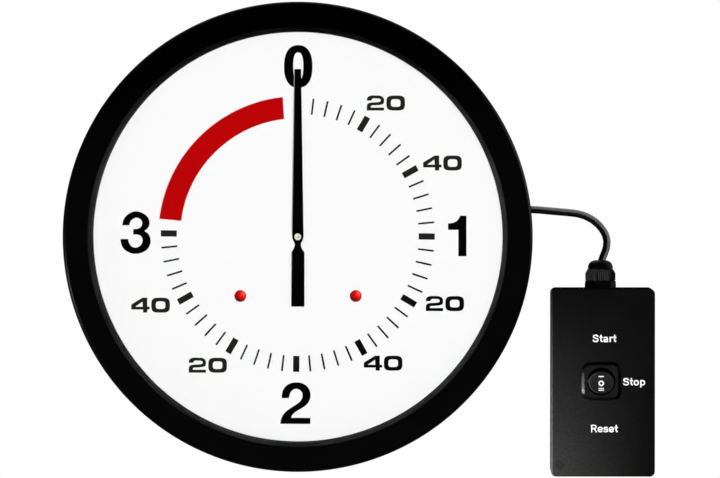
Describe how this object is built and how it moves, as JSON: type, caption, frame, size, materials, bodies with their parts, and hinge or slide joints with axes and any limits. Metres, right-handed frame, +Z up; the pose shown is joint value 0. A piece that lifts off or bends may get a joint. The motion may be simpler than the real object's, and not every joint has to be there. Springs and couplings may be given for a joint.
{
  "type": "boxing timer",
  "caption": "Wall-hung round interval timer with a sweep hand, signal lamps and a corded control box with a rocker switch.",
  "frame": {"origin": "centre of the clock's flat back, on the dial's axis, in the plane of the wall", "axes": "+Z up, the dial faces -Y, +X to the right of someone who reads it; the wall is behind, on +Y"},
  "size_m": [0.3778, 0.0468, 0.3026],
  "materials": {
    "black_abs": "satin moulded black",
    "charcoal_abs": "satin moulded charcoal",
    "black_nylon": "satin moulded black",
    "black_rubber": "matt black",
    "black_pvc": "satin black sheath",
    "acrylic": "clear polished",
    "white_dial": "matt white, printed",
    "black_hand": "black paint on aluminium",
    "brass": "turned",
    "steel": "zinc plated",
    "acetal": "moulded, off-white",
    "red_lamp": "clear red",
    "green_board": "solder mask",
    "tin": "tinned"
  },
  "bodies": {
    "clock": {"rear_case": "black_abs", "hanger_plate": "steel", "bezel": "black_abs", "bezel_screw_1": "steel", "bezel_screw_2": "steel", "bezel_screw_3": "steel", "bezel_screw_4": "steel", "bezel_screw_5": "steel", "bezel_screw_6": "steel", "dial_plate": "white_dial", "dial_spacer": "black_abs", "lens": "acrylic", "movement_rear_plate": "brass", "movement_front_plate": "brass", "arbor_bush": "brass", "plate_pillar_1": "brass", "plate_pillar_2": "brass", "plate_pillar_3": "brass", "plate_pillar_4": "brass", "motor_can": "steel", "home_sensor": "black_abs", "circuit_board": "green_board", "terminal_block": "black_abs", "lamp_board": "green_board", "lamp_left": "red_lamp", "lamp_right": "red_lamp", "sounder": "black_abs", "power_inlet": "black_abs", "cord_bush": "black_rubber", "control_cord": "black_pvc"},
    "hand_train": {"hand": "black_hand", "hub_screw": "brass", "centre_arbor": "steel", "centre_wheel": "brass", "home_magnet": "steel"},
    "idler": {"idler_arbor": "steel", "idler_pinion": "brass", "idler_wheel": "acetal"},
    "motor_rotor": {"motor_shaft": "steel", "motor_pinion": "acetal"},
    "control_box": {"box_shell": "charcoal_abs", "box_lid": "charcoal_abs", "lid_screw_1": "steel", "lid_screw_2": "steel", "lid_screw_3": "steel", "lid_screw_4": "steel", "gland_body": "black_nylon", "gland_locknut": "black_nylon", "gland_nut": "black_nylon", "gland_seal": "black_rubber", "switch_housing": "black_abs", "switch_nut": "black_nylon", "common_blade": "tin", "reset_blade": "tin", "start_blade": "tin"},
    "rocker_key": {"rocker": "black_abs", "plunger": "brass", "rocker_spring": "steel"},
    "seesaw": {"contact_lever": "tin"}
  },
  "joints": [
    {"name": "hand_turn", "type": "hinge", "parent": "clock", "child": "hand_train", "pos_m": [0, -0.0344, 0], "axis": [0, 1, 0], "continuous": true},
    {"name": "idler_turn", "type": "hinge", "parent": "clock", "child": "idler", "pos_m": [-0.00776, -0.02, 0.02898], "axis": [0, 1, 0], "continuous": true},
    {"name": "motor_turn", "type": "hinge", "parent": "clock", "child": "motor_rotor", "pos_m": [0, -0.02, 0.05796], "axis": [0, 1, 0], "continuous": true},
    {"name": "box_swing", "type": "hinge", "parent": "clock", "child": "control_box", "pos_m": [0.1946, -0.021, 0.0027], "axis": [0, -1, 0], "range_deg": [-15, 30], "deforming": ["control_cord"]},
    {"name": "rocker_tilt", "type": "hinge", "parent": "control_box", "child": "rocker_key", "pos_m": [0.1939, -0.0385, -0.092], "axis": [1, 0, 0], "range_deg": [-11, 11]},
    {"name": "contact_tilt", "type": "hinge", "parent": "control_box", "child": "seesaw", "pos_m": [0.1939, -0.0295, -0.092], "axis": [1, 0, 0], "range_deg": [-9, 9]}
  ],
  "couplings": [
    {"joint": "idler_turn", "follows": "hand_turn", "ratio": -4},
    {"joint": "motor_turn", "follows": "hand_turn", "ratio": 16},
    {"joint": "contact_tilt", "follows": "rocker_tilt", "ratio": -0.8}
  ]
}
